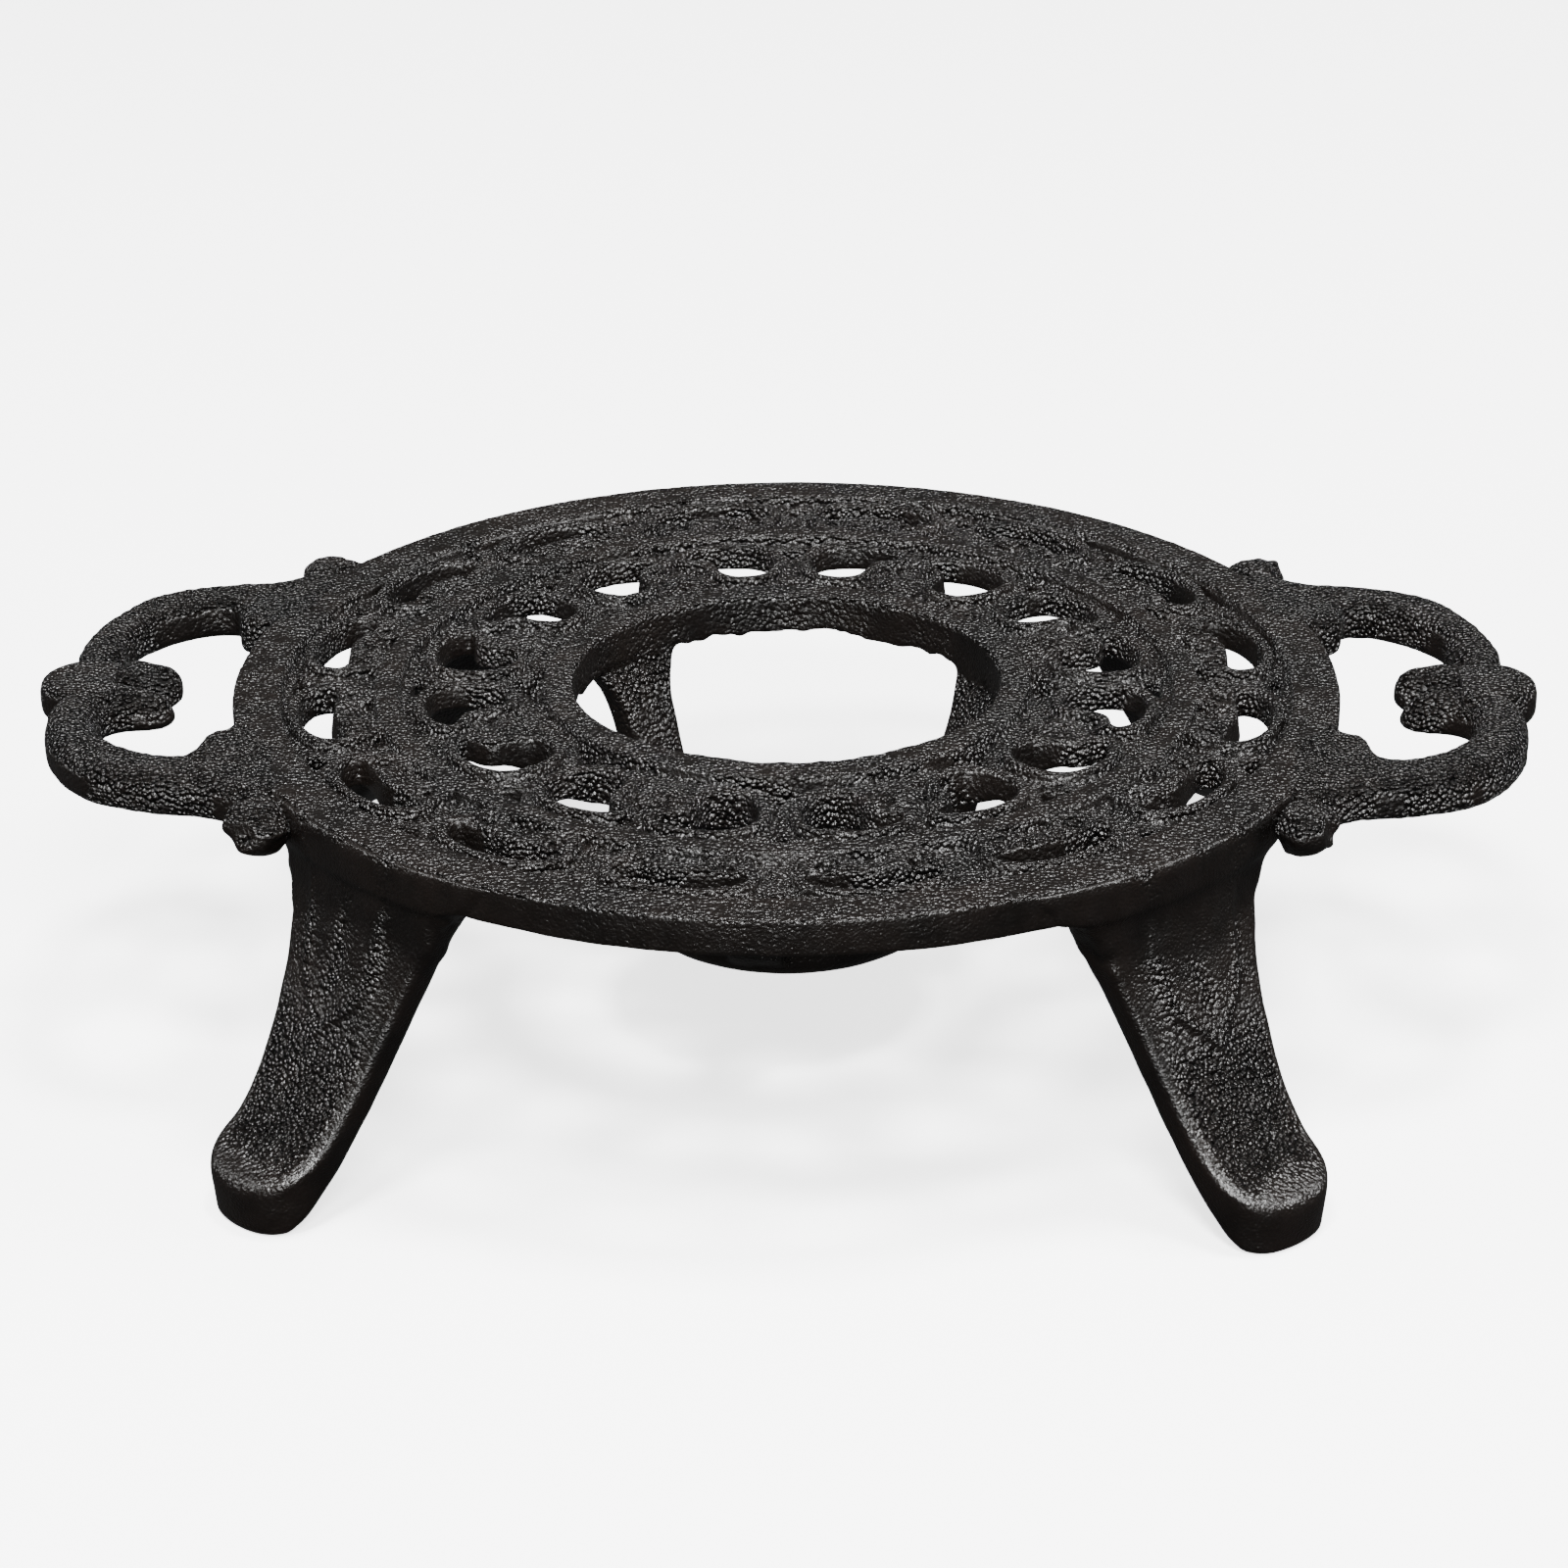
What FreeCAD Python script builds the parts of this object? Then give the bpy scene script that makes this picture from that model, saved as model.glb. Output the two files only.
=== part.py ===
import FreeCAD, Part
import math
import os

# Cast-iron warming stand (trivet): a round openwork plate with two scroll
# handles, four splayed legs and a candle tray hung under the middle hole.
# Millimetres, +Z up. The origin is on the ground under the plate's axis.
# The handles stand out along X, and the legs stand about 45 degrees between them.

Vector = FreeCAD.Vector
os.makedirs("parts", exist_ok=True)

# ---- driving dimensions ----
plate_radius = 80.0
stand_height = 52.0

rim_width = 6.9
rim_height = 5.6
outer_band_inner_radius = 59.5
middle_ring_width = 3.4
middle_ring_height = 4.2
hub_radius = 35.2
hub_bore_radius = 31.3
hub_height = 6.4
scroll_recess = 0.3
outer_scroll_bottom = 4.8
inner_scroll_bottom = 4.2
outer_arches = 16
heart_motifs = 8

leg_angles = {"leg_rear_right": 44, "leg_rear_left": 134,
              "leg_front_left": 223, "leg_front_right": 314}
toe_reach = 102.0
toe_thickness = 6.8
sole_start = 97.2
toe_half_width = 8.2

strut_angles = {"strut_right": 23, "strut_left": 138, "strut_front": 260}

tray_top_radius = 24.0
tray_foot_radius = 22.0
tray_wall = 2.6
tray_floor = 2.8
tray_height = 9.2
tray_bottom = 38.0

arm_drop = 0.1
arm_height = 6.3
handle_reach = 108.8
clasp_radius = 7.2
clasp_height = 6.0
knob_radius = 3.8
knob_centre = (71.0, 45.2)
knob_drop = 3.8

# ---- worked-out dimensions ----
rim_inner_radius = plate_radius - rim_width
middle_ring_inner_radius = outer_band_inner_radius - middle_ring_width
outer_pitch = 360.0 / outer_arches
heart_pitch = 360.0 / heart_motifs
cut_margin = 1.0
axis = Vector(0, 0, 1)
centre = Vector(0, 0, 0)


# ---- helpers; a depth is a distance below the plate's top ----
def level(depth):
    return stand_height - depth


def polar(radius, degrees):
    angle = math.radians(degrees)
    return Vector(radius * math.cos(angle), radius * math.sin(angle), 0)


def turned(shape, degrees):
    copy = shape.copy()
    copy.rotate(centre, axis, degrees)
    return copy


def disc(radius, top, bottom, x=0.0, y=0.0):
    return Part.makeCylinder(radius, bottom - top, Vector(x, y, level(bottom)))


def ring(inner_radius, outer_radius, top, bottom):
    bore = disc(inner_radius, top - cut_margin, bottom + cut_margin)
    return disc(outer_radius, top, bottom).cut(bore)


def curve(points):
    if len(points) == 2:
        return Part.makeLine(*points)
    spline = Part.BSplineCurve()
    spline.interpolate(points)
    return spline.toShape()


def loop(points):
    spline = Part.BSplineCurve()
    spline.interpolate(points, True)
    return Part.Wire([spline.toShape()])


def upright(wire, top, bottom):
    """Upright prism over a flat wire at height zero, between two depths."""
    base = Part.Face(wire)
    base.translate(Vector(0, 0, level(bottom)))
    return base.extrude(Vector(0, 0, bottom - top))


# ---- openwork plate ----
def through_hole(wire):
    return upright(wire, -cut_margin, rim_height + cut_margin)


def hole_places(shares):
    """Points given as (share of the plate's radius, degrees)."""
    return [polar(share * plate_radius, degrees) for share, degrees in shares]


def arch_hole():
    """Half-moon hole of an outer arch, with a low nub at the middle of its foot."""
    side = [(0.808, 3.4), (0.804, 6.8), (0.822, 8.5), (0.860, 7.4), (0.882, 4.2)]
    other_side = [(share, -degrees) for share, degrees in reversed(side)]
    outline = [(0.816, 0.0)] + side + [(0.889, 0.0)] + other_side
    return turned(through_hole(loop(hole_places(outline))), outer_pitch / 2)


def spandrel(crown, waist, tip):
    """Three-sided hole between two arches: a crown under the ring outside it,
    two hollow flanks through the waist, and a tip. Each is (share, degrees)."""
    middle = (crown[0], 0.0)
    left, right = hole_places([crown, (crown[0], -crown[1])])
    left_waist, right_waist = hole_places([waist, (waist[0], -waist[1])])
    top, point = hole_places([middle, tip])
    edges = [Part.Arc(right, top, left).toShape(),
             Part.Arc(left, left_waist, point).toShape(),
             Part.Arc(point, right_waist, right).toShape()]
    return through_hole(Part.Wire(edges))


def comma_hole():
    """Comma-shaped hole on one side of a heart motif, hooked at its top."""
    outline = [(0.499, 9.0), (0.508, 5.8), (0.545, 3.4), (0.600, 3.0), (0.646, 5.6),
               (0.664, 11.5), (0.656, 17.0), (0.634, 20.0), (0.611, 19.4),
               (0.598, 17.0), (0.580, 15.6), (0.545, 15.3), (0.518, 14.4), (0.502, 12.2)]
    return through_hole(loop(hole_places(outline)))


def repeated(cutters, count):
    pitch = 360.0 / count
    return [turned(cutter, index * pitch) for cutter in cutters for index in range(count)]


def outer_scrollwork():
    band = ring(outer_band_inner_radius, rim_inner_radius, scroll_recess, outer_scroll_bottom)
    corner = spandrel((0.908, 4.0), (0.866, 1.3), (0.822, 0.0))
    return band.cut(repeated([arch_hole(), corner], outer_arches))


def inner_scrollwork():
    band = ring(hub_radius, middle_ring_inner_radius, scroll_recess, inner_scroll_bottom)
    comma = comma_hole()
    other_comma = turned(comma.mirror(centre, Vector(0, 1, 0)), heart_pitch)
    outer_corner = spandrel((0.694, 6.0), (0.628, 1.9), (0.572, 0.0))
    inner_corner = spandrel((0.447, 11.0), (0.478, 4.0), (0.532, 0.0))
    cleft = turned(spandrel((0.694, 3.0), (0.680, 1.1), (0.664, 0.0)), heart_pitch / 2)
    cutters = [comma, other_comma, outer_corner, inner_corner, cleft]
    return band.cut(repeated(cutters, heart_motifs))


# ---- legs, struts and tray ----
def bent_plate(profile, outline):
    """Plate bent round the stand's axis: the profile is a list of curves through
    (radius, depth), joined end to end, and the outline its half width at each depth."""
    sweep = 30.0
    sides = [[Vector(radius, 0, level(depth)) for radius, depth in side] for side in profile]
    face = Part.Face(Part.Wire([curve(side) for side in sides]))
    face.rotate(centre, axis, -sweep / 2)
    solid = face.revolve(centre, axis, sweep)
    right = [Vector(0, half, level(depth)) for half, depth in outline]
    left = [Vector(0, -half, level(depth)) for half, depth in reversed(outline)]
    edges = [curve(right), curve([right[-1], left[0]]), curve(left), curve([left[-1], right[0]])]
    slab = Part.Face(Part.Wire(edges)).extrude(Vector(2 * plate_radius, 0, 0))
    return solid.common(slab)


def toe_trimmer():
    """What lies outside the round end of a leg's toe."""
    turn = toe_reach - toe_half_width
    depth_range = (rim_height, stand_height + cut_margin)
    block = Part.makeBox(toe_half_width * 2, toe_half_width * 4, stand_height,
                         Vector(turn, -toe_half_width * 2, -cut_margin))
    return block.cut(disc(toe_half_width, *depth_range, x=turn))


def leg():
    root = (plate_radius, rim_height)
    front = [root, (80.0, 10.0), (82.7, 20.0), (88.4, 32.0), (94.6, 40.6),
             (toe_reach, stand_height - toe_thickness)]
    tip = [front[-1], (toe_reach, stand_height)]
    sole = [tip[-1], (sole_start, stand_height)]
    back = [sole[-1], (94.0, 49.0), (88.9, 43.0), (83.0, 33.6), (77.4, 21.6), (74.2, 11.2),
            (rim_inner_radius, rim_height)]
    outline = [(20.4, rim_height), (16.3, 9.0), (12.6, 20.0), (10.3, 32.0),
               (9.3, 41.6), (toe_half_width, stand_height)]
    return bent_plate([front, tip, sole, back, [back[-1], root]], outline).cut(toe_trimmer())


def tray_body():
    foot = level(tray_bottom)
    edge = 1.4
    places = [Vector(0, 0, foot), Vector(tray_foot_radius - edge, 0, foot),
              Vector(tray_foot_radius, 0, foot + edge),
              Vector(tray_top_radius, 0, foot + tray_height), Vector(0, 0, foot + tray_height)]
    return Part.Face(Part.makePolygon(places + places[:1])).revolve(centre, axis, 360)


def candle_tray():
    floor = level(tray_bottom) + tray_floor
    depth = tray_height - tray_floor
    well = Part.makeCone(tray_foot_radius - tray_wall + 1.4, tray_top_radius - tray_wall + 0.2,
                         depth + cut_margin, Vector(0, 0, floor))
    return tray_body().cut(well)


def strut():
    inner = [(hub_bore_radius, hub_height), (28.7, 11.0), (24.9, 22.0), (21.7, 33.0)]
    outer = [(21.6, 36.6), (26.8, 32.0), (31.4, 18.0), (hub_radius, hub_height)]
    profile = [inner, [inner[-1], outer[0]], outer, [outer[-1], inner[0]]]
    outline = [(8.4, hub_height), (5.6, 11.0), (4.8, 18.0), (4.3, 36.6)]
    return bent_plate(profile, outline).cut(tray_body())


# ---- handles, drawn for the right handle, with the front arms as if they were rear ones ----
def knob(x_side, y_side):
    x, y = knob_centre
    ball = Part.makeSphere(knob_radius, Vector(x * x_side, y * y_side, level(knob_drop)))
    return ball.cut(disc(plate_radius, -cut_margin, stand_height))


def arm_outline(y_side):
    """Plan of an arm, from its root on the rim, round the handle's corner, to the
    finger that curls back along the middle, and back past a nub at the root. The front
    arms have the fuller corner and the longer nub."""
    root = [(68.6, 46.4), (71.4, 44.8), (75.2, 40.2), (80.0, 37.6)]
    corner = [(88.4, 36.2), (97.0, 31.8), (102.4, 22.6), (104.8, 12.0), (103.6, 5.6)]
    opening = [(98.2, 14.2), (96.8, 19.4), (93.2, 24.4), (88.0, 27.8), (84.2, 28.2)]
    nub = [(83.0, 25.4), (82.2, 22.4), (79.0, 20.8), (76.4, 21.4)]
    if y_side < 0:
        root = [(68.6, 46.4), (71.4, 44.8), (75.2, 40.0), (80.0, 37.0)]
        corner = [(88.4, 35.6), (97.8, 31.2), (103.8, 22.4), (105.8, 12.4), (104.6, 5.6)]
        opening = [(98.2, 13.6), (96.6, 18.4), (93.0, 22.8), (88.0, 25.8), (84.6, 26.2)]
        nub = [(83.0, 22.8), (82.2, 19.0), (79.0, 17.2), (76.4, 18.0)]
    outer = root + corner + [(100.6, 1.6)]
    tip = [(92.2, 0.0), (88.5, 3.7), (92.2, 7.4)]
    inner = [tip[-1], (95.6, 7.8), (97.8, 10.0)] + opening + nub
    outer_edge, tip_edge, inner_edge = [[Vector(x, y, 0) for x, y in side]
                                        for side in (outer, tip, inner)]
    mouth = Vector(96.6, 0, 0)
    return Part.Wire([curve(outer_edge), curve([outer_edge[-1], mouth]),
                      curve([mouth, tip_edge[0]]), Part.Arc(*tip_edge).toShape(),
                      curve(inner_edge), curve([inner_edge[-1], outer_edge[0]])])


def handle_arm(x_side, y_side):
    arm = upright(arm_outline(y_side), arm_drop, arm_drop + arm_height)
    if x_side < 0:
        arm = arm.mirror(centre, Vector(1, 0, 0))
    if y_side < 0:
        arm = arm.mirror(centre, Vector(0, 1, 0))
    inside = disc(plate_radius, -cut_margin, stand_height)
    return arm.cut([inside, knob(x_side, y_side)])


def handle_clasp(x_side):
    x = (handle_reach - clasp_radius) * x_side
    top = arm_drop + (arm_height - clasp_height) / 2
    boss = disc(clasp_radius, top, top + clasp_height, x=x)
    inner_half = Part.makeBox(clasp_radius, 2 * clasp_radius, clasp_height,
                              Vector(x - clasp_radius * (x_side > 0), -clasp_radius,
                                     level(top + clasp_height)))
    arms = [handle_arm(x_side, y_side) for y_side in (1, -1)]
    return boss.cut([inner_half] + arms)


# ---- every named piece ----
def all_pieces():
    pieces = {
        "rim_ring": ring(rim_inner_radius, plate_radius, 0, rim_height),
        "outer_scrollwork": outer_scrollwork(),
        "middle_ring": ring(middle_ring_inner_radius, outer_band_inner_radius,
                            0, middle_ring_height),
        "inner_scrollwork": inner_scrollwork(),
        "hub_collar": ring(hub_bore_radius, hub_radius, 0, hub_height),
        "candle_tray": candle_tray(),
    }
    for name, degrees in leg_angles.items():
        pieces[name] = turned(leg(), degrees)
    for name, degrees in strut_angles.items():
        pieces[name] = turned(strut(), degrees)
    for side, x_side in (("right", 1), ("left", -1)):
        pieces["handle_clasp_" + side] = handle_clasp(x_side)
        for end, y_side in (("rear", 1), ("front", -1)):
            place = "_" + end + "_" + side
            pieces["handle_arm" + place] = handle_arm(x_side, y_side)
            pieces["handle_knob" + place] = knob(x_side, y_side)
    return pieces


for piece_name, piece in all_pieces().items():
    box = piece.BoundBox
    print(piece_name, "valid", piece.isValid(), "solids", len(piece.Solids),
          "volume %.1f" % piece.Volume,
          "x %.1f..%.1f y %.1f..%.1f z %.1f..%.1f" % (box.XMin, box.XMax, box.YMin,
                                                      box.YMax, box.ZMin, box.ZMax))
    piece.exportStep("parts/" + piece_name + ".step")
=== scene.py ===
import itertools
import math

import bpy
import numpy as np
from mathutils import Matrix, Vector


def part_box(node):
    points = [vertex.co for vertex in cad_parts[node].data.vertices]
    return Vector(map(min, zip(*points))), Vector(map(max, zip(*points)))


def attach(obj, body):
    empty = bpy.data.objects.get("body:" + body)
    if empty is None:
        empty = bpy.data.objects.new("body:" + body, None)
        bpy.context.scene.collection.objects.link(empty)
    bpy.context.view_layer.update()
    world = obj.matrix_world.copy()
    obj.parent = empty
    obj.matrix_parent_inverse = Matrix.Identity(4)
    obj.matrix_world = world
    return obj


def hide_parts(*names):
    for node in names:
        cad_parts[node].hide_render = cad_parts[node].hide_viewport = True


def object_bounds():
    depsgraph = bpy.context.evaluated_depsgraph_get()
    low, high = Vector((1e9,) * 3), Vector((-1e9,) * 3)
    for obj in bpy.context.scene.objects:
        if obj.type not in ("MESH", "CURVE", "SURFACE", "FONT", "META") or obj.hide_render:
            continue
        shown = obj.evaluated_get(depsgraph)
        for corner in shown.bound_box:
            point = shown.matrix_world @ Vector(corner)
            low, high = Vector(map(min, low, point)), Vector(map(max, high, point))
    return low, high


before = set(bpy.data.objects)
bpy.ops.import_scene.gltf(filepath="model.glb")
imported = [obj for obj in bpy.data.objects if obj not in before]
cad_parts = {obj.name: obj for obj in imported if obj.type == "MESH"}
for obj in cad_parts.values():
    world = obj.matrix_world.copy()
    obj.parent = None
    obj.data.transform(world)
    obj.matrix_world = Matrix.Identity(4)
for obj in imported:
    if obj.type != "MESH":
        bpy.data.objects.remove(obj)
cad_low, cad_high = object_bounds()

# Cast-iron warming stand. Each CAD node gets a detailed casting of its own: its shape is
# a field in millimetres, negative inside, and the piece is the surface where it is zero.
# A depth is a distance below the plate's top. The pieces stay inside the CAD box.
MM = 0.001
STAND_HEIGHT = round(cad_high[2] / MM, 1)
PLATE_RADIUS = round(cad_high[1] / MM, 1)
RIM_INNER = 73.1
RIM_HEIGHT = 5.6
BAND_INNER = 59.5
RING_INNER = 56.1
RING_HEIGHT = 4.2
ARCH_HEIGHT = 4.8
HUB_RADIUS = 35.2
HUB_BORE = 31.3
HUB_HEIGHT = 6.4
HEART_HEIGHT = 6.0      # beside the hub; the hearts thin to the ring's height outwards
OUTER_PITCH = 22.5
HEART_PITCH = 45.0
FLAT_TOP = 0.13         # the tops lie this far down, to leave room for the cast skin
SCROLL_TOP = 0.3
RECESS = 1.5            # the ground between the raised borders of the holes lies this much lower
HOLE_SHRINK = 0.4       # the paint and the draft leave the holes a little smaller
HOLE_DRAFT = 0.12       # and they narrow by this much for each millimetre of depth
JOIN_SINK = 0.25        # how far a neighbour's skin lies inside the shape that a piece flows into
FAR = 1e3               # a distance beyond everything
LATTICE = 61            # cells of random values along each axis, before they repeat

LEG_ANGLES = {"leg_rear_right": 44, "leg_rear_left": 134,
              "leg_front_left": 223, "leg_front_right": 314}
STRUT_ANGLES = {"strut_right": 23, "strut_left": 138, "strut_front": 260}


# ---- fields: soft unions, cuts and distances ----
def smooth_max(a, b, soft):
    """The larger value, with the change from one to the other rounded over that distance."""
    blend = np.clip(0.5 + 0.5 * (a - b) / soft, 0, 1)
    return b + (a - b) * blend + soft * blend * (1 - blend)


def smooth_min(a, b, soft):
    return -smooth_max(-a, -b, soft)


def ease(low, high, value):
    """0 below low, 1 above high, and a soft step between them."""
    share = np.clip((value - low) / (high - low), 0, 1)
    return share * share * (3 - 2 * share)


def smooth_line(points, closed=False, steps=6):
    """Catmull-Rom curve through the points, as a polyline."""
    p = np.array(points, float)
    if closed:
        p = np.vstack([p[-1:], p, p[:2]])
    else:
        p = np.vstack([2 * p[0] - p[1], p, 2 * p[-1] - p[-2]])
    u = np.linspace(0, 1, steps, endpoint=False)[:, None]
    runs = [0.5 * (2 * b + (c - a) * u + (2 * a - 5 * b + 4 * c - d) * u ** 2
                   + (3 * b - a - 3 * c + d) * u ** 3)
            for a, b, c, d in zip(p, p[1:], p[2:], p[3:])]
    return np.vstack(runs if closed else runs + [p[-2:-1]])


def segments(x, y, line):
    """Along each segment of a polyline: its ends, the share along it and the squared distance."""
    for (ax, ay), (bx, by) in zip(line, line[1:]):
        dx, dy = bx - ax, by - ay
        share = np.clip(((x - ax) * dx + (y - ay) * dy) / (dx * dx + dy * dy), 0, 1)
        yield (ax, ay, bx, by), share, (x - ax - share * dx) ** 2 + (y - ay - share * dy) ** 2


def outline_distance(x, y, outline):
    """Distance from a closed outline, negative inside it."""
    nearest = np.full(np.broadcast(x, y).shape, FAR ** 2)
    inside = np.zeros(nearest.shape, bool)
    for (ax, ay, bx, by), _, square in segments(x, y, np.vstack([outline, outline[:1]])):
        nearest = np.minimum(nearest, square)
        rise = (by - ay) or 1.0     # a level edge is never crossed
        crossing = ax + (y - ay) * (bx - ax) / rise
        inside ^= ((ay > y) != (by > y)) & (x < crossing)
    return np.where(inside, -1, 1) * np.sqrt(nearest)


def stroke_distance(x, y, line, widths):
    """Distance from a brush stroke along a polyline, with a half width at each point."""
    nearest = np.full(np.broadcast(x, y).shape, FAR)
    for (_, share, square), start, end in zip(segments(x, y, line), widths, widths[1:]):
        nearest = np.minimum(nearest, np.sqrt(square) - start - share * (end - start))
    return nearest


def polar(shares):
    """Plan points from (share of the plate's radius, degrees)."""
    r, a = np.array(shares, float).T
    r, a = r * PLATE_RADIUS, np.radians(a)
    return np.stack([r * np.cos(a), r * np.sin(a)], 1)


def folded(x, y, pitch, centre):
    """The plan folded into half of one motif, whose middle line is at that angle.
    The motif then lies along +X, on the side of +Y."""
    radius = np.hypot(x, y)
    angle = np.degrees(np.arctan2(y, x)) - centre
    angle = np.radians(np.abs((angle + pitch / 2) % pitch - pitch / 2))
    return radius * np.cos(angle), radius * np.sin(angle)


def noise(x, y, z, cell, seed):
    """Smooth random values from -1 to 1, on a lattice of cells of that size."""
    table = np.random.default_rng(seed).uniform(-1, 1, (LATTICE, LATTICE, LATTICE))
    place = [np.asarray(v, float) / cell for v in (x, y, z)]
    base = [np.floor(v).astype(int) for v in place]
    share = [ease(0, 1, v - b) for v, b in zip(place, base)]
    total = 0
    for corner in itertools.product((0, 1), repeat=3):
        weight = 1
        for s, c in zip(share, corner):
            weight = weight * (s if c else 1 - s)
        i, j, k = [(b + c) % LATTICE for b, c in zip(base, corner)]
        total = total + weight * table[i, j, k]
    return total


# ---- meshes ----
CORNERS = list(itertools.product((0, 1), repeat=3))


def crossing_points(values, cells):
    """For each cell, the mean of the places where the surface crosses its edges."""
    total = np.zeros((len(cells), 3))
    hits = np.zeros(len(cells))
    for start, end in itertools.product(CORNERS, repeat=2):
        if sum(end) - sum(start) != 1 or min(np.subtract(end, start)) < 0:
            continue
        a = values[tuple((cells + start).T)]
        b = values[tuple((cells + end).T)]
        crossed = (a < 0) != (b < 0)
        share = np.where(crossed, a / np.where(crossed, a - b, 1), 0)
        total += crossed[:, None] * (np.array(start) + share[:, None] * np.subtract(end, start))
        hits += crossed
    return cells + total / hits[:, None]


def crossing_quads(inside, index):
    """A quad across each grid edge that the surface crosses, through the points of the four
    cells round that edge."""
    faces = []
    for along in range(3):
        across, up = (along + 1) % 3, (along + 2) % 3
        low, high = [slice(None)] * 3, [slice(None)] * 3
        low[along], high[along] = slice(None, -1), slice(1, None)
        nodes = np.argwhere(inside[tuple(low)] != inside[tuple(high)])
        quad = []
        for back_across, back_up in ((1, 1), (0, 1), (0, 0), (1, 0)):
            cell = nodes.copy()
            cell[:, across] -= back_across
            cell[:, up] -= back_up
            quad.append(index[tuple(cell.T)])
        quad = np.stack(quad, 1)
        outward = inside[tuple(nodes.T)]
        faces.append(np.where(outward[:, None], quad, quad[:, ::-1]))
    return np.vstack(faces)


def surface_net(values, origin, step):
    """Points and quads on the zero surface of a sampled field, closed off at the grid's end."""
    values = np.pad(values, 1, constant_values=FAR)
    inside = values < 0
    size = np.array(values.shape) - 1
    count = sum(inside[tuple(slice(c, c + n) for c, n in zip(corner, size))].astype(np.int8)
                for corner in CORNERS)
    cells = np.argwhere((count > 0) & (count < len(CORNERS)))
    index = np.full(size, -1)
    index[tuple(cells.T)] = np.arange(len(cells))
    points = np.subtract(origin, step) + step * crossing_points(values, cells)
    return points, crossing_quads(inside, index)


def vertex_normals(points, faces):
    """Unit normals of a quad mesh's points, weighted by the area of the faces beside them."""
    a, b, c, d = (points[faces[:, i]] for i in range(4))
    facing = np.cross(c - a, d - b)
    normals = np.zeros_like(points)
    for i in range(4):
        for axis in range(3):
            normals[:, axis] += np.bincount(faces[:, i], facing[:, axis], len(points))
    return normals / np.maximum(np.linalg.norm(normals, axis=1), 1e-9)[:, None]


LUMP_SIZE, LUMP_HEIGHT, LUMP_SEED = 3.3, 0.05, 11
PIT_SIZE, PIT_HEIGHT, PIT_SEED = 0.9, 0.07, 12
POOL_SIZE, POOL_SMOOTHING, POOL_SEED = 7.0, 0.8, 14
TOP_SMOOTHING = 0.48


def cast_skin(points, normals, rough, walls, polish):
    """Sand-cast skin: soft lumps and pits. Slopes and sunk ground are the coarsest, walls have
    a coarseness of their own, and where the paint has pooled the skin is smooth."""
    x, y, z = points.T
    depth = STAND_HEIGHT - z
    facing_up = normals[:, 2]
    raised = (1 - ease(0.6, 1.1, depth)) * ease(0.85, 0.97, facing_up)
    slope = ease(0.05, 0.40, facing_up) * (1 - TOP_SMOOTHING * raised)
    pool = ease(0.10, 0.30, noise(x, y, z, POOL_SIZE, POOL_SEED))
    pooled = POOL_SMOOTHING * pool * (1 - ease(0.25, 0.50, facing_up))
    share = walls + (1 - walls) * slope
    share = share * (1 - pooled) * (1 - polish(x, y, depth))
    lumps = LUMP_HEIGHT * noise(x, y, z, LUMP_SIZE, LUMP_SEED)
    pits = PIT_HEIGHT * share * noise(x, y, z, PIT_SIZE, PIT_SEED)
    height = (lumps + pits) * rough
    return points + normals * height[:, None], share * rough


def unpolished(x, y, depth):
    """The polish of a piece that is nowhere smoother than its skin."""
    return 0 * x


def make_piece(name, field, low, high, step, rough, walls, polish):
    """The casting that stands for a CAD node: field(x, y, depth) meshed inside a box. The
    mesh carries how coarse its skin is, for the paint's grain."""
    axes = [np.arange(a - 1.5 * step, b + 2 * step, step) for a, b in zip(low, high)]
    x, y, z = np.meshgrid(*axes, indexing="ij", sparse=True)
    values = np.broadcast_to(field(x, y, STAND_HEIGHT - z), [len(a) for a in axes])
    points, faces = surface_net(values, [a[0] for a in axes], step)
    points, coarse = cast_skin(points, vertex_normals(points, faces), rough, walls, polish)
    points = np.clip(points * MM, np.array(cad_low), np.array(cad_high))
    mesh = bpy.data.meshes.new(name)
    mesh.from_pydata(points.tolist(), [], faces.tolist())
    mesh.polygons.foreach_set("use_smooth", np.ones(len(faces), bool))
    mesh.attributes.new("coarse", "FLOAT", "POINT").data.foreach_set("value", coarse)
    mesh.materials.append(IRON)
    piece = bpy.data.objects.new(name, mesh)
    bpy.context.scene.collection.objects.link(piece)
    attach(piece, "root")
    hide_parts(name)


# ---- paint ----
DARK_PAINT, LIGHT_PAINT = (0.0018, 0.0014, 0.0012), (0.0046, 0.0032, 0.0026)
GLOSSY, DULL = (0.28,) * 3, (0.35,) * 3
GRAIN_HEIGHT, FINE_HEIGHT = 0.00115, 0.0003
FINE_STRENGTH = 0.5


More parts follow.
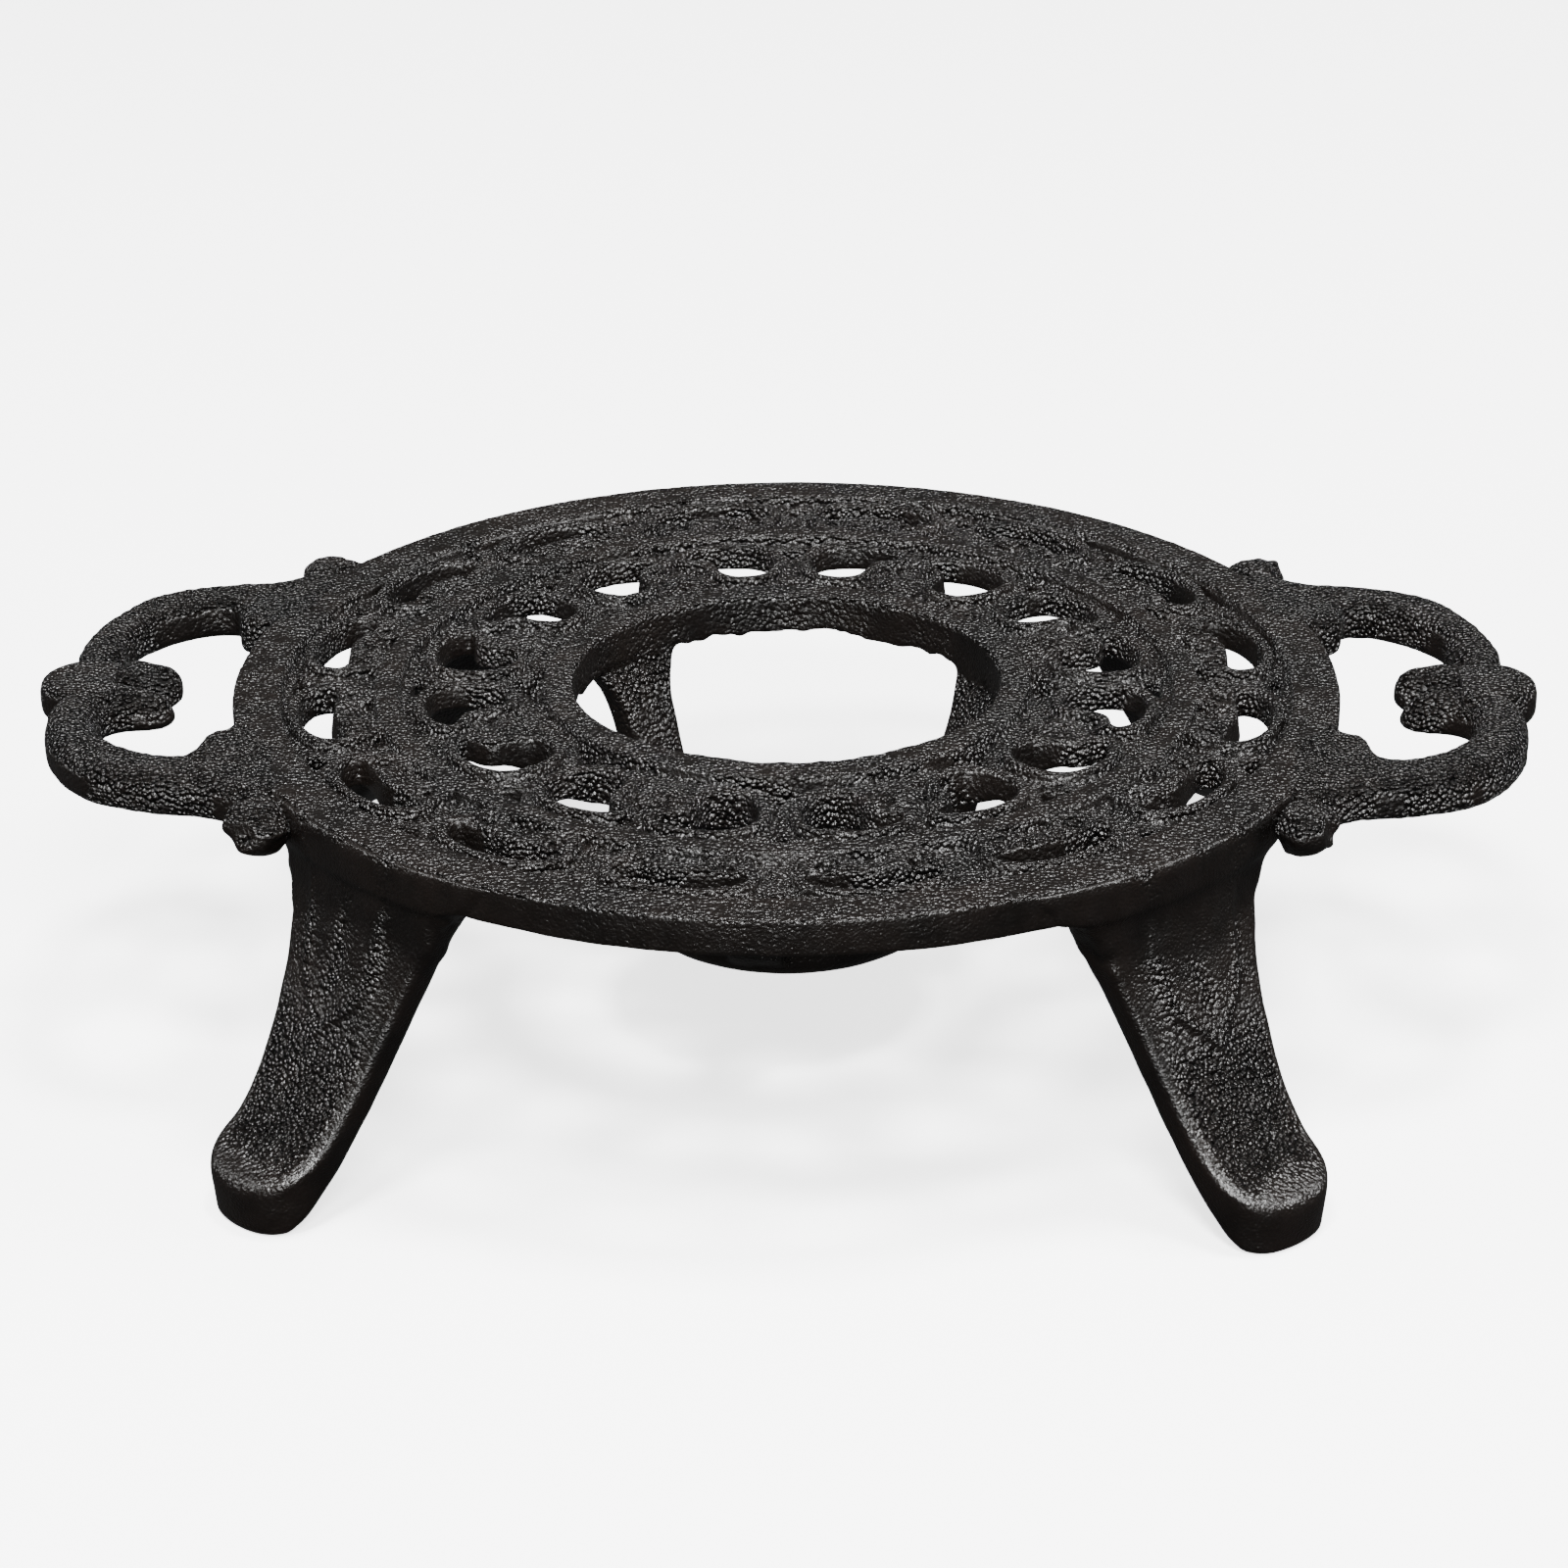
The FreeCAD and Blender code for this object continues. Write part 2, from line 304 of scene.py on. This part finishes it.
class Nodes:
    """Short ways to add a material's nodes, each placed by the piece's own coordinates."""
    def __init__(self, material):
        self.nodes, self.links = material.node_tree.nodes, material.node_tree.links
        self.place = self.nodes.new("ShaderNodeTexCoord").outputs["Object"]

    def texture(self, kind, output, **sockets):
        node = self.nodes.new(kind)
        self.links.new(self.place, node.inputs["Vector"])
        for socket, value in sockets.items():
            node.inputs[socket].default_value = value
        return node.outputs[output]

    def ramp(self, source, *stops):
        node = self.nodes.new("ShaderNodeValToRGB")
        for element, (position, colour) in zip(node.color_ramp.elements, stops):
            element.position, element.color = position, (*colour, 1)
        self.links.new(source, node.inputs["Fac"])
        return node.outputs["Color"]

    def maths(self, operation, *values):
        """A sum whose values are numbers or other nodes' outputs."""
        node = self.nodes.new("ShaderNodeMath")
        node.operation = operation
        for socket, value in zip(node.inputs, values):
            if isinstance(value, (int, float)):
                socket.default_value = value
            else:
                self.links.new(value, socket)
        return node.outputs["Value"]

    def bump(self, height, distance):
        node = self.nodes.new("ShaderNodeBump")
        node.inputs["Distance"].default_value = distance
        self.links.new(height, node.inputs["Height"])
        return node


def painted_iron():
    """Black-brown paint, uneven in colour and gloss, over a grain of small domes. The domes
    come in clusters, and stand highest where the casting is coarse."""
    material = bpy.data.materials.new("painted_iron")
    material.use_nodes = True
    shader = material.node_tree.nodes["Principled BSDF"]
    make, links = Nodes(material), material.node_tree.links

    patches = make.texture("ShaderNodeTexNoise", "Fac", Scale=90, Detail=4, Roughness=0.6)
    links.new(make.ramp(patches, (0.35, DARK_PAINT), (0.70, LIGHT_PAINT)),
              shader.inputs["Base Color"])
    gloss = make.texture("ShaderNodeTexNoise", "Fac", Scale=420, Detail=3, Roughness=0.6)
    links.new(make.ramp(gloss, (0.35, GLOSSY), (0.68, DULL)), shader.inputs["Roughness"])

    coarse = make.nodes.new("ShaderNodeAttribute")
    coarse.attribute_name = "coarse"
    clusters = make.texture("ShaderNodeTexNoise", "Fac", Scale=300, Detail=2, Roughness=0.6)
    uneven = make.maths("MULTIPLY_ADD", clusters, 2.4, -0.2)
    cells = make.texture("ShaderNodeTexVoronoi", "Distance", Scale=1500)
    grain = make.bump(make.maths("POWER", cells, 2.0), GRAIN_HEIGHT)
    grain.invert = True
    links.new(make.maths("MULTIPLY", coarse.outputs["Fac"], uneven), grain.inputs["Strength"])

    specks = make.texture("ShaderNodeTexNoise", "Fac", Scale=2600, Detail=1, Roughness=0.5)
    fine = make.bump(specks, FINE_HEIGHT)
    fine.inputs["Strength"].default_value = FINE_STRENGTH
    links.new(grain.outputs["Normal"], fine.inputs["Normal"])
    links.new(fine.outputs["Normal"], shader.inputs["Normal"])
    shader.inputs["IOR"].default_value = 1.5
    shader.inputs["Specular IOR Level"].default_value = 0.45
    return material


# ---- openwork plate ----
ARCH_SIDE = [(0.808, 3.4), (0.804, 6.8), (0.822, 8.5), (0.860, 7.4), (0.882, 4.2)]
ARCH_HOLE = smooth_line(polar([(0.816, 0)] + ARCH_SIDE + [(0.889, 0)]
                              + [(r, -a) for r, a in ARCH_SIDE[::-1]]), closed=True)
LOBE_CENTRE = polar([(0.786, 5.4)])[0]
LOBE_RADIUS, LOBE_SINK = 2.3, 1.9
CURL_CENTRE = polar([(0.797, 2.4)])[0]
CURL_RADIUS = 1.4
FOOT_GROOVE = polar([(0.806, 0.0), (0.780, 1.3), (0.756, 3.0)])

COMMA_HOLE = smooth_line(polar([(0.499, 9.0), (0.508, 5.8), (0.545, 3.4), (0.600, 3.0),
                                (0.646, 5.6), (0.664, 11.5), (0.656, 17.0), (0.634, 20.0),
                                (0.611, 19.4), (0.598, 17.0), (0.580, 15.6), (0.545, 15.3),
                                (0.518, 14.4), (0.502, 12.2)]), closed=True)
HEART_GROOVES = [smooth_line(polar(places)) for places in (
    [(0.494, 12.5), (0.495, 17.5), (0.494, 22.5), (0.495, 27.5)],
    [(0.547, 15.8), (0.551, 19.0), (0.541, 22.5), (0.551, 26.0)],
    [(0.494, 22.5), (0.515, 22.5), (0.533, 22.5)],
    [(0.610, 18.6), (0.592, 17.7), (0.573, 18.0), (0.571, 19.8), (0.585, 20.6)],
    [(0.636, 20.8), (0.612, 21.2), (0.590, 20.6)],
    [(0.660, 18.0), (0.650, 20.8), (0.643, 22.5), (0.650, 24.2)])]
HEART_BOSS = polar([(0.520, 22.5)])[0]
HEART_BOSS_RADIUS, HEART_BOSS_RISE = 3.0, 0.9
CHUTE_DEPTH = 3.0
GROOVE_DEPTH, GROOVE_WIDTH = 0.45, 0.5


def spandrel(crown, waist, tip):
    """Three-sided hole: a crown under a ring, two hollow flanks through the waist, a tip."""
    flank = smooth_line(polar([crown, waist, (tip, 0)]))
    return np.vstack([flank, (flank * (1, -1))[::-1][1:]])


OUTER_CORNER = spandrel((0.906, 3.6), (0.874, 1.5), 0.848)
HEART_OUTER_CORNER = spandrel((0.692, 5.4), (0.648, 2.2), 0.612)
HEART_INNER_CORNER = spandrel((0.447, 11.0), (0.478, 4.0), 0.532)
HEART_INNER_SLIT = spandrel((0.447, 8.5), (0.464, 3.4), 0.480)
HEART_CLEFT = spandrel((0.694, 3.0), (0.680, 1.1), 0.664)


def groove(distance):
    """Depth of a groove, at a distance from its middle line."""
    return GROOVE_DEPTH * np.exp(-(distance / GROOVE_WIDTH) ** 2)


def line_distance(x, y, line):
    """Distance from a polyline."""
    return stroke_distance(x, y, line, np.zeros(len(line)))


def ground(hole):
    """Depth of the scrollwork's top: a raised border round each hole, and sunk ground."""
    return SCROLL_TOP + RECESS * ease(0.9, 1.4, hole)


def outer_band_plan(x, y):
    """Depth of the top and distance from the holes, over the outer band of arches."""
    u, v = folded(x, y, OUTER_PITCH, OUTER_PITCH / 2)
    arch = outline_distance(u, v, ARCH_HOLE)
    lobe = np.hypot(u - LOBE_CENTRE[0], v - LOBE_CENTRE[1]) - LOBE_RADIUS
    opening = smooth_min(arch, lobe, 1.0)
    curl = np.hypot(u - CURL_CENTRE[0], v - CURL_CENTRE[1]) / CURL_RADIUS
    top = ground(opening) + LOBE_SINK * ease(0.2, 1.8, -opening)
    top = smooth_min(top, SCROLL_TOP + 0.4 * curl ** 2, 0.5)
    u, v = folded(x, y, OUTER_PITCH, 0)
    top = top + groove(line_distance(u, v, FOOT_GROOVE))
    return top, np.minimum(arch, outline_distance(u, v, OUTER_CORNER))


def inner_band_plan(x, y):
    """Depth of the top and distance from the holes, over the inner band of hearts."""
    u, v = folded(x, y, HEART_PITCH, 0)
    hole = outline_distance(u, v, COMMA_HOLE)
    grooves = [groove(line_distance(u, v, line)) for line in HEART_GROOVES]
    chute = ease(-0.3, 1.5, -outline_distance(u, v, HEART_INNER_CORNER))
    boss = np.hypot(u - HEART_BOSS[0], v - HEART_BOSS[1]) / HEART_BOSS_RADIUS
    top = SCROLL_TOP + (ground(hole) - SCROLL_TOP) * (1 - HEART_BOSS_RISE * np.exp(-boss ** 2))
    top = top + np.maximum.reduce(grooves) * ease(0.4, 1.4, hole)
    top = top + CHUTE_DEPTH * chute * (1 - ease(36.0, 42.0, u))
    for corner in (HEART_OUTER_CORNER, HEART_INNER_SLIT):
        hole = np.minimum(hole, outline_distance(u, v, corner))
    u, v = folded(x, y, HEART_PITCH, HEART_PITCH / 2)
    return top, np.minimum(hole, outline_distance(u, v, HEART_CLEFT))


def plate_part(low_radius, high_radius, low_bottom, high_bottom, plan):
    """Field of a band of scrollwork, with the depth of its bottom at its inner and outer edge.
    It runs on a little way under the rings beside it."""
    def field(x, y, depth):
        radius = np.hypot(x, y)
        outward = ease(low_radius + 5, low_radius + 11, radius)
        bottom = low_bottom + (high_bottom - low_bottom) * outward
        within = np.minimum(radius - low_radius, high_radius - radius)
        top, hole = plan(x, y)
        top = FLAT_TOP + (top - FLAT_TOP) * ease(0, 0.4, within) + 0.4 * ease(0.1, 0.7, -within)
        body = smooth_max(top - depth, depth - bottom, 0.6)
        body = smooth_max(body, -(hole + HOLE_SHRINK + HOLE_DRAFT * depth), 0.7)
        return np.maximum(body, -within - 0.9)
    return field


def flat_ring(low_radius, high_radius, bottom):
    """Field of a plain ring between two radii."""
    def field(x, y, depth):
        radius = np.hypot(x, y)
        body = smooth_max(FLAT_TOP - depth, depth - bottom, 0.7)
        return np.maximum(body, np.maximum(low_radius - radius, radius - high_radius))
    return field


RIM_GAP = 0.1           # the rim's side lies this far inside the CAD rim
RIM_DRAFT, RIM_PARTING = 0.05, 2.6


def rim_shape(x, y, depth):
    """The rim, with its rounded outer edges, drafted below the mould's parting line."""
    radius = np.hypot(x, y)
    side = radius - PLATE_RADIUS + RIM_GAP + RIM_DRAFT * np.maximum(depth - RIM_PARTING, 0)
    body = smooth_max(FLAT_TOP - depth, depth - RIM_HEIGHT, 0.6)
    return np.maximum(smooth_max(body, side, 0.45), RIM_INNER - radius)


def hub_shape(x, y, depth):
    """The collar round the middle hole, with a ragged lower edge and a lip at the front."""
    radius = np.hypot(x, y)
    ragged = 0.55 * noise(x, y, 0 * x, 1.9, 21) + 0.35 * noise(x, y, 0 * x, 5.0, 22)
    lip = 0.3 + (1.0 + 0.4 * noise(x, y, depth, 1.9, 23)) * ease(12, 30, -y)
    bore = HUB_BORE - lip - 0.03 * depth - radius
    body = smooth_max(FLAT_TOP - depth, depth - HUB_HEIGHT - ragged + 0.3, 0.6)
    body = smooth_max(body, bore, 0.6)
    return smooth_max(body, radius - HUB_RADIUS + 0.04 * depth, 0.4)


# ---- legs ----
LEG_FRONT = smooth_line([(0.0, 79.9), (5.2, 79.9), (10.0, 80.0), (20.0, 82.7), (32.0, 88.4),
                         (40.6, 94.6), (45.2, 102.0), (52.0, 102.0), (56.0, 102.0)])
LEG_BACK = smooth_line([(0.0, 73.1), (5.2, 73.1), (11.2, 74.2), (21.6, 77.4), (33.6, 83.0),
                        (43.0, 88.9), (49.0, 94.0), (52.0, 97.2), (56.0, 100.0)])
LEG_HALF = smooth_line([(0.0, 25.4), (5.2, 21.2), (9.0, 16.8), (20.0, 13.0), (32.0, 10.7),
                        (41.6, 9.6), (52.0, 8.5), (56.0, 8.5)])
TOE_TURN = 93.8         # beyond this the toe is half round in plan
SHANK_SINK = 0.45
FLASH = 0.8             # the ragged casting flash along a leg's sides, near the rim


def at_depth(line, depth):
    """The value on a curve of (depth, value) points."""
    return np.interp(depth, line[:, 0], line[:, 1])


def tongue_half(depth):
    """Half width of the raised tongue down the front of a leg, which ends in a V."""
    return 9.4 - 0.12 * depth - 6.6 * ease(20, 30, depth)


def leg_relief(side, depth):
    """How far the front of a leg stands proud: a tongue with a ridge along its borders and
    a middle vein, over a sunk shank, and a pad on the toe."""
    across = np.abs(side)
    tongue = 1 - ease(-0.6, 0.6, across - tongue_half(depth))
    below_rim = ease(7.0, 13.0, depth)
    border = np.exp(-((across - tongue_half(depth)) / 0.9) ** 2) * (1 - ease(28, 31, depth))
    vein = np.exp(-(side / 1.5) ** 2) * (1 - ease(22, 28, depth))
    pad = ease(42.6, 44.2, depth) * (1 - ease(-1.2, 0.4, across - 6.2))
    relief = 0.5 * tongue + 0.35 * border - 0.35 * vein - SHANK_SINK
    return below_rim * relief + 0.3 * pad


def leg_polish(angle):
    """Where a leg is smooth: all but the lower shank, the tongue's borders and its vein."""
    c, s = math.cos(math.radians(angle)), math.sin(math.radians(angle))

    def polish(x, y, depth):
        across = np.abs(y * c - x * s)
        shank = ease(24, 33, depth) * (1 - ease(41, 44, depth))
        shank = shank * (1 - ease(-3.2, -1.2, across - at_depth(LEG_HALF, depth)))
        lines = (np.exp(-((across - tongue_half(depth)) / 1.4) ** 2) * (1 - ease(26, 30, depth))
                 + np.exp(-(across / 1.6) ** 2) * (1 - ease(20, 26, depth)))
        return np.clip(0.88 - shank - 0.7 * lines, 0, 1)
    return polish


def leg_shape(angle):
    """A leg that flares into the rim and turns out to a flat toe."""
    c, s = math.cos(math.radians(angle)), math.sin(math.radians(angle))

    def field(x, y, depth):
        along, side = x * c + y * s, y * c - x * s
        radius = np.hypot(x, y)
        flush = (0.44 * (1 - ease(14, 20, np.abs(side))) - 0.2) * (1 - ease(8, 14, depth))
        front = radius - at_depth(LEG_FRONT, depth) - leg_relief(side, depth) - flush
        back = at_depth(LEG_BACK, depth) - radius
        flash = FLASH * noise(x, y, depth, 2.1, 31) * (1 - ease(13, 18, depth))
        across = np.hypot(np.maximum(along - TOE_TURN, 0), side)
        edge = across - at_depth(LEG_HALF, depth) - flash
        body = smooth_max(0.8 * front, 0.8 * back, 1.2)
        body = smooth_max(body, 0.9 * edge, 1.8)
        body = smooth_max(body, depth - STAND_HEIGHT, 0.8)
        body = smooth_max(body, 0.9 - depth, 1.6)
        rim = rim_shape(x, y, depth) + JOIN_SINK
        joined = smooth_min(body, rim, 2.6)
        return np.maximum(joined, body - 4.0)
    return field


# ---- struts and tray ----
STRUT_INNER = smooth_line([(4.0, 31.5), (6.4, 31.3), (11.0, 28.7), (22.0, 24.9), (33.0, 21.7),
                           (38.0, 20.5)])
STRUT_OUTER = smooth_line([(4.0, 35.4), (6.4, 35.2), (18.0, 31.4), (32.0, 26.8), (36.6, 21.6),
                           (38.0, 20.0)])
STRUT_HALF = smooth_line([(4.0, 9.6), (6.4, 8.4), (11.0, 5.6), (18.0, 4.8), (36.6, 4.3),
                          (38.0, 4.3)])
TRAY_RIM_DEPTH = 28.8
TRAY_FLOOR_DEPTH = 35.2
TRAY_BOTTOM = 38.0
TRAY_RADIUS, WELL_RADIUS = 24.0, 21.6


def tray_shape(x, y, depth):
    """Shallow dish with a rounded foot."""
    radius = np.hypot(x, y)
    down = depth - TRAY_RIM_DEPTH
    side = radius - TRAY_RADIUS + 0.16 * down
    body = smooth_max(side, depth - TRAY_BOTTOM, 2.6)
    body = smooth_max(body, -down, 1.1)
    well = smooth_max(radius - WELL_RADIUS + 0.12 * down, depth - TRAY_FLOOR_DEPTH, 1.8)
    return smooth_max(body, -well, 0.9)


def strut_shape(angle):
    """A strut that flows into the hub above and the tray below."""
    c, s = math.cos(math.radians(angle)), math.sin(math.radians(angle))

    def field(x, y, depth):
        along, side = x * c + y * s, y * c - x * s
        radius = np.where(along > 0, np.hypot(x, y), -FAR)
        body = smooth_max(radius - at_depth(STRUT_OUTER, depth),
                          at_depth(STRUT_INNER, depth) - radius, 1.0)
        body = smooth_max(0.9 * body, np.abs(side) - at_depth(STRUT_HALF, depth), 1.8)
        body = smooth_max(body, np.maximum(4.5 - depth, depth - 37.0), 0.8)
        hub = hub_shape(x, y, depth) + JOIN_SINK
        tray = tray_shape(x, y, depth) + JOIN_SINK
        joined = smooth_min(smooth_min(body, hub, 1.6), tray, 1.6)
        return np.maximum(joined, body - 2.5)
    return field


# ---- handles, drawn for the right rear; y_side is 1 for a rear arm and -1 for a front one ----
ARM_TOP, ARM_BOTTOM = 0.25, 6.4
ARM_ROOTS = {1: [(68.6, 46.4), (71.4, 44.8), (75.2, 40.2), (80.0, 37.6)],
             -1: [(68.6, 46.4), (71.4, 44.8), (75.2, 40.0), (80.0, 37.0)]}
ARM_TIP = smooth_line([(92.2, 0.0), (89.6, 1.1), (88.5, 3.7), (89.6, 6.3), (92.2, 7.4)])
ARM_CORNERS = {1: [(88.4, 36.2), (97.0, 31.8), (102.4, 22.6), (104.8, 12.0), (103.6, 5.6)],
               -1: [(88.4, 35.6), (97.8, 31.2), (103.8, 22.4), (105.8, 12.4), (104.6, 5.6)]}
ARM_INNER = {1: [(98.2, 14.2), (96.8, 19.4), (93.2, 24.4), (88.0, 27.8), (84.2, 28.2)],
             -1: [(98.2, 13.6), (96.6, 18.4), (93.0, 22.8), (88.0, 25.8), (84.6, 26.2)]}
ARM_NUBS = {1: [(83.0, 25.4), (82.2, 22.4), (79.0, 20.8), (75.6, 22.0), (72.0, 26.0)],
            -1: [(83.0, 22.8), (82.2, 19.0), (79.0, 17.2), (75.6, 19.0), (72.0, 24.0)]}
KNOB_CENTRE = (71.0, 45.2, 3.3)
KNOB_RADIUS = 3.5
KNOB_SQUASH = 1.25
CLASP_CENTRE = (101.5, 0.0, 3.3)
CLASP_RADIUS = 7.2
CLASP_HALF_HEIGHT = 3.0
CLASP_START = 97.5


def arm_plan(y_side):
    """Outline of an arm: out along its outer side, round the finger's tip and back."""
    outer = smooth_line(ARM_ROOTS[y_side] + ARM_CORNERS[y_side] + [(100.6, 1.6), (96.6, 0.0)])
    inner = smooth_line([(92.2, 7.4), (95.6, 7.8), (97.8, 10.0)] + ARM_INNER[y_side]
                        + ARM_NUBS[y_side])
    return np.vstack([outer, ARM_TIP, inner[1:]])


def arm_body(x_side, y_side):
    """An arm by itself. Its finger slopes down to its tip and to both sides, and a pocket
    parts the finger from the arm."""
    outline = arm_plan(y_side)

    def field(x, y, depth):
        u, v = x * x_side, y * y_side
        finger = 1 - ease(93.0, 99.0, u + 0.25 * v)
        finger = finger * (1 - ease(11.0, 14.0, v))
        pocket = 1.8 * np.exp(-((u - 98.2) / 1.7) ** 2 - ((v - 6.6) / 2.6) ** 2)
        slope = 0.10 * np.maximum(96.0 - u, 0) * finger
        slope = slope + 0.14 * finger * (v - 4.6) ** 2
        top = ARM_TOP + pocket + slope - depth
        shoulder = 3.4 + 2.2 * finger if y_side < 0 else 2.4 + 0.8 * finger
        body = smooth_max(outline_distance(u, v, outline), top, shoulder)
        return smooth_max(body, depth - ARM_BOTTOM, 1.8)
    return field


def arm_shape(x_side, y_side):
    """An arm that flows into the rim."""
    body_field = arm_body(x_side, y_side)

    def field(x, y, depth):
        body = body_field(x, y, depth)
        rim = rim_shape(x, y, depth) + JOIN_SINK
        return np.maximum(smooth_min(body, rim, 2.2), body - 3.0)
    return field


def clasp_shape(x_side):
    """A round boss outside the place where the arms meet, cut off where it enters them."""
    def field(x, y, depth):
        cx, cy, cd = CLASP_CENTRE
        disc = np.hypot(x * x_side - cx, y - cy) - CLASP_RADIUS
        body = smooth_max(disc, np.abs(depth - cd) - CLASP_HALF_HEIGHT, 2.2)
        return np.maximum(body, CLASP_START - x * x_side)
    return field


def knob_shape(x_side, y_side):
    """An uneven ball at an arm's root, that flows into the rim and the arm."""
    arm_field = arm_body(x_side, y_side)

    def field(x, y, depth):
        cx, cy, cd = KNOB_CENTRE
        across = np.hypot(x * x_side - cx, y * y_side - cy) / KNOB_SQUASH
        ball = np.hypot(across, depth - cd) - KNOB_RADIUS + noise(x, y, depth, 2.6, 41)
        beside = np.minimum(rim_shape(x, y, depth), arm_field(x, y, depth)) + JOIN_SINK
        return np.maximum(smooth_min(ball, beside, 2.0), ball - 2.0)
    return field


# ---- every piece ----
def node_box(name):
    """A CAD node's corners in millimetres."""
    low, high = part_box(name)
    return np.array(low) / MM, np.array(high) / MM


def make_castings():
    """Each piece: its field, the margin round its node, the mesh's step, and how rough its
    skin is, over all and on its walls."""
    outer_band = plate_part(BAND_INNER, RIM_INNER, ARCH_HEIGHT, ARCH_HEIGHT, outer_band_plan)
    inner_band = plate_part(HUB_RADIUS, RING_INNER, HEART_HEIGHT, RING_HEIGHT, inner_band_plan)
    middle_ring = flat_ring(RING_INNER, BAND_INNER, RING_HEIGHT)
    shapes = {
        "rim_ring": (rim_shape, 0.0, 0.34, 1.0, 0.1),
        "outer_scrollwork": (outer_band, 1.0, 0.35, 0.9, 1.0),
        "middle_ring": (middle_ring, 0.0, 0.34, 1.0, 0.1),
        "inner_scrollwork": (inner_band, 1.0, 0.33, 0.9, 1.0),
        "hub_collar": (hub_shape, 0.8, 0.34, 1.0, 0.3),
        "candle_tray": (tray_shape, 0.0, 0.42, 0.8, 0.2),
    }
    polished = {}
    for name, angle in LEG_ANGLES.items():
        shapes[name] = (leg_shape(angle), 4.5, 0.34, 1.5, 0.25)
        polished[name] = leg_polish(angle)
    for name, angle in STRUT_ANGLES.items():
        shapes[name] = (strut_shape(angle), 3.0, 0.36, 1.2, 0.4)
    for side, x_side in (("right", 1), ("left", -1)):
        shapes["handle_clasp_" + side] = (clasp_shape(x_side), 3.8, 0.3, 1.2, 0.5)
        for end, y_side in (("rear", 1), ("front", -1)):
            place = "_" + end + "_" + side
            shapes["handle_arm" + place] = (arm_shape(x_side, y_side), 3.0, 0.3, 1.7, 0.6)
            shapes["handle_knob" + place] = (knob_shape(x_side, y_side), 2.5, 0.3, 1.3, 0.7)
    for name, (field, margin, step, rough, walls) in shapes.items():
        low, high = node_box(name)
        make_piece(name, field, low - margin, high + margin, step, rough, walls,
                   polished.get(name, unpolished))


# ---- floor, lights and camera ----
def pale_floor():
    """A matt floor that the paint doesn't reflect. It glows a little, to soften the shadows."""
    bpy.ops.mesh.primitive_circle_add(vertices=96, radius=6.0, fill_type="NGON",
                                      location=(0, 0, 0))
    floor = bpy.context.object
    floor.name = "floor"
    material = bpy.data.materials.new("pale_floor")
    material.use_nodes = True
    shader = material.node_tree.nodes["Principled BSDF"]
    shader.inputs["Base Color"].default_value = (0.93, 0.93, 0.93, 1)
    shader.inputs["Roughness"].default_value = 0.9
    shader.inputs["Emission Color"].default_value = (1, 1, 1, 1)
    shader.inputs["Emission Strength"].default_value = 2.5
    floor.data.materials.append(material)
    floor.visible_glossy = False
    floor.visible_diffuse = False


LIT_POINT = Vector((0, 0, 0.04))
LIGHTS = [("front_key", (-0.2, -0.62, 1.3), (0.3, 0.2), 36),
          ("front_mid", (0.1, -1.0, 1.0), (0.4, 0.2), 32),
          ("front_low", (0.0, -1.4, 0.3), (0.8, 0.2), 14),
          ("left_box", (-1.3, 0.0, 0.8), (0.4, 0.6), 14),
          ("right_box", (1.3, -0.1, 0.9), (0.4, 0.6), 28),
          ("overhead", (0.25, 0.0, 1.8), (0.35, 0.35), 50)]


def area_light(name, place, size, power):
    """Rectangular light in metres and watts, turned to the stand's middle."""
    light = bpy.data.lights.new(name, "AREA")
    light.shape, light.size, light.size_y = "RECTANGLE", *size
    light.energy = power
    lamp = bpy.data.objects.new(name, light)
    bpy.context.scene.collection.objects.link(lamp)
    lamp.location = place
    lamp.rotation_mode = "QUATERNION"
    lamp.rotation_quaternion = (lamp.location - LIT_POINT).to_track_quat("Z", "Y")


def soft_studio():
    """A faint even light from all round, and soft boxes."""
    world = bpy.data.worlds.new("studio")
    world.use_nodes = True
    background = world.node_tree.nodes["Background"]
    background.inputs["Color"].default_value = (1, 1, 1, 1)
    background.inputs["Strength"].default_value = 0.07
    bpy.context.scene.world = world
    for name, place, size, power in LIGHTS:
        area_light(name, place, size, power)


def photo_camera():
    """The photograph's point of view: from the front, at about 25 degrees above the floor."""
    camera = bpy.data.cameras.new("camera")
    camera.sensor_width, camera.lens = 36.0, 101.244
    camera.clip_start, camera.clip_end = 0.01, 20
    eye = bpy.data.objects.new("camera", camera)
    bpy.context.scene.collection.objects.link(eye)
    turn = Matrix.Rotation(math.radians(1.3), 4, "Z")
    tilt = Matrix.Rotation(math.radians(65.401), 4, "X")
    roll = Matrix.Rotation(math.radians(-0.38), 4, "Z")
    eye.matrix_world = (Matrix.Translation((0.01293, -0.58817, 0.30396))
                        @ turn @ tilt @ roll)
    bpy.context.scene.camera = eye


IRON = painted_iron()
make_castings()
pale_floor()
soft_studio()
photo_camera()
